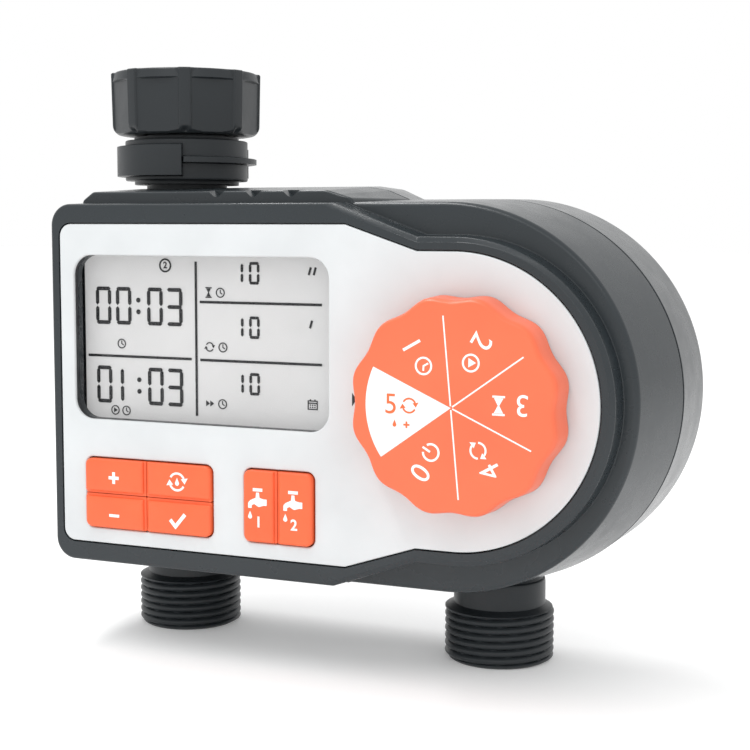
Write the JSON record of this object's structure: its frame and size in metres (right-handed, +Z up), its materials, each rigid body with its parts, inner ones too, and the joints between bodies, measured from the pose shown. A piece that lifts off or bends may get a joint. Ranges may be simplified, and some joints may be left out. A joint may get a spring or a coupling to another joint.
{
  "type": "drip irrigation timer",
  "caption": "Tap-hung electronic watering timer: keyhole-shaped casing, display, keys, lobed selector dial, swivel-nut inlet on top and threaded hose outlets below.",
  "frame": {"origin": "on the inlet axis, at the top of the inlet washer, where the tap's spout seals", "axes": "+Z up along the inlet axis towards the tap, +X along the casing's length towards the dial, +Y from the front face to the back"},
  "size_m": [0.1519, 0.0612, 0.1431],
  "materials": {
    "casing_plastic": "satin charcoal moulding",
    "fitting_plastic": "fine matt charcoal moulding",
    "white_plastic": "smooth satin white",
    "orange_plastic": "soft satin orange",
    "orange_rubber": "matt orange silicone",
    "window_glass": "clear polished",
    "display_face": "grey liquid-crystal face with black segments",
    "black_rubber": "matt seal rubber",
    "steel": "bright plated",
    "board_laminate": "green solder mask",
    "inner_plastic": "plain black nylon",
    "coil_wrap": "varnished winding",
    "cell_skin": "printed battery sleeve",
    "filter_mesh": "pale grey moulded mesh",
    "red_insulation": "red wire sleeve"
  },
  "bodies": {
    "casing": {"front_housing": "casing_plastic", "rear_cover": "casing_plastic", "faceplate": "white_plastic", "lcd_window": "window_glass", "lcd_module": "display_face", "dial_seal": "black_rubber", "rotary_switch": "inner_plastic", "keypad_mat": "orange_rubber", "main_board": "board_laminate", "board_screw_1": "steel", "board_screw_2": "steel", "board_screw_3": "steel", "bulkhead_plate": "inner_plastic", "bulkhead_seal": "black_rubber", "battery_tray": "inner_plastic", "battery_1": "cell_skin", "battery_2": "cell_skin", "battery_spring_1": "steel", "battery_spring_2": "steel", "battery_link": "steel", "battery_terminal": "steel", "door_hinge_pin": "steel", "valve_manifold": "inner_plastic", "diaphragm_1": "black_rubber", "diaphragm_2": "black_rubber", "solenoid_bonnet_1": "inner_plastic", "solenoid_bonnet_2": "inner_plastic", "solenoid_coil_1": "coil_wrap", "solenoid_coil_2": "coil_wrap", "plunger_spring_1": "steel", "plunger_spring_2": "steel", "coil_lead_1": "red_insulation", "coil_lead_2": "red_insulation", "outlet_fitting_1": "fitting_plastic", "outlet_fitting_2": "fitting_plastic", "outlet_seal_1": "black_rubber", "outlet_seal_2": "black_rubber", "inlet_stem": "fitting_plastic", "inlet_collar": "fitting_plastic", "inlet_washer": "black_rubber", "inlet_filter": "filter_mesh", "cover_screw_1": "steel", "cover_screw_2": "steel", "cover_screw_3": "steel", "cover_screw_4": "steel", "cover_screw_5": "steel", "cover_screw_6": "steel"},
    "dial": {"dial_knob": "orange_plastic", "dial_shaft": "white_plastic"},
    "nut": {"swivel_nut": "fitting_plastic"},
    "door": {"battery_door": "casing_plastic", "battery_door_seal": "black_rubber"},
    "plus_key": {"key_plus": "orange_rubber"},
    "minus_key": {"key_minus": "orange_rubber"},
    "cycle_key": {"key_cycle": "orange_rubber"},
    "confirm_key": {"key_confirm": "orange_rubber"},
    "tap_1_key": {"key_tap_1": "orange_rubber"},
    "tap_2_key": {"key_tap_2": "orange_rubber"},
    "plunger_1": {"solenoid_plunger_1": "steel"},
    "plunger_2": {"solenoid_plunger_2": "steel"}
  },
  "joints": [
    {"name": "dial_turn", "type": "hinge", "parent": "casing", "child": "dial", "pos_m": [0.0893, -0.0425, -0.0684], "axis": [0, 1, 0], "continuous": true},
    {"name": "nut_turn", "type": "hinge", "parent": "casing", "child": "nut", "pos_m": [0, 0, 0], "axis": [0, 0, 1], "continuous": true},
    {"name": "door_swing", "type": "hinge", "parent": "casing", "child": "door", "pos_m": [0.0445, 0.0142, -0.062], "axis": [-1, 0, 0], "range_deg": [0, 95]},
    {"name": "press_plus", "type": "slide", "parent": "casing", "child": "plus_key", "axis": [0, 1, 0], "range_m": [0, 0.0009], "stiffness_N_per_m": 400, "springref_m": -0.0006},
    {"name": "press_minus", "type": "slide", "parent": "casing", "child": "minus_key", "axis": [0, 1, 0], "range_m": [0, 0.0009], "stiffness_N_per_m": 400, "springref_m": -0.0006},
    {"name": "press_cycle", "type": "slide", "parent": "casing", "child": "cycle_key", "axis": [0, 1, 0], "range_m": [0, 0.0009], "stiffness_N_per_m": 400, "springref_m": -0.0006},
    {"name": "press_confirm", "type": "slide", "parent": "casing", "child": "confirm_key", "axis": [0, 1, 0], "range_m": [0, 0.0009], "stiffness_N_per_m": 400, "springref_m": -0.0006},
    {"name": "press_tap_1", "type": "slide", "parent": "casing", "child": "tap_1_key", "axis": [0, 1, 0], "range_m": [0, 0.0009], "stiffness_N_per_m": 400, "springref_m": -0.0006},
    {"name": "press_tap_2", "type": "slide", "parent": "casing", "child": "tap_2_key", "axis": [0, 1, 0], "range_m": [0, 0.0009], "stiffness_N_per_m": 400, "springref_m": -0.0006},
    {"name": "plunger_1_pull", "type": "slide", "parent": "casing", "child": "plunger_1", "axis": [1, 0, 0], "range_m": [0, 0.0025], "stiffness_N_per_m": 200, "springref_m": -0.002, "deforming": ["plunger_spring_1"]},
    {"name": "plunger_2_pull", "type": "slide", "parent": "casing", "child": "plunger_2", "axis": [-1, 0, 0], "range_m": [0, 0.0025], "stiffness_N_per_m": 200, "springref_m": -0.002, "deforming": ["plunger_spring_2"]}
  ]
}
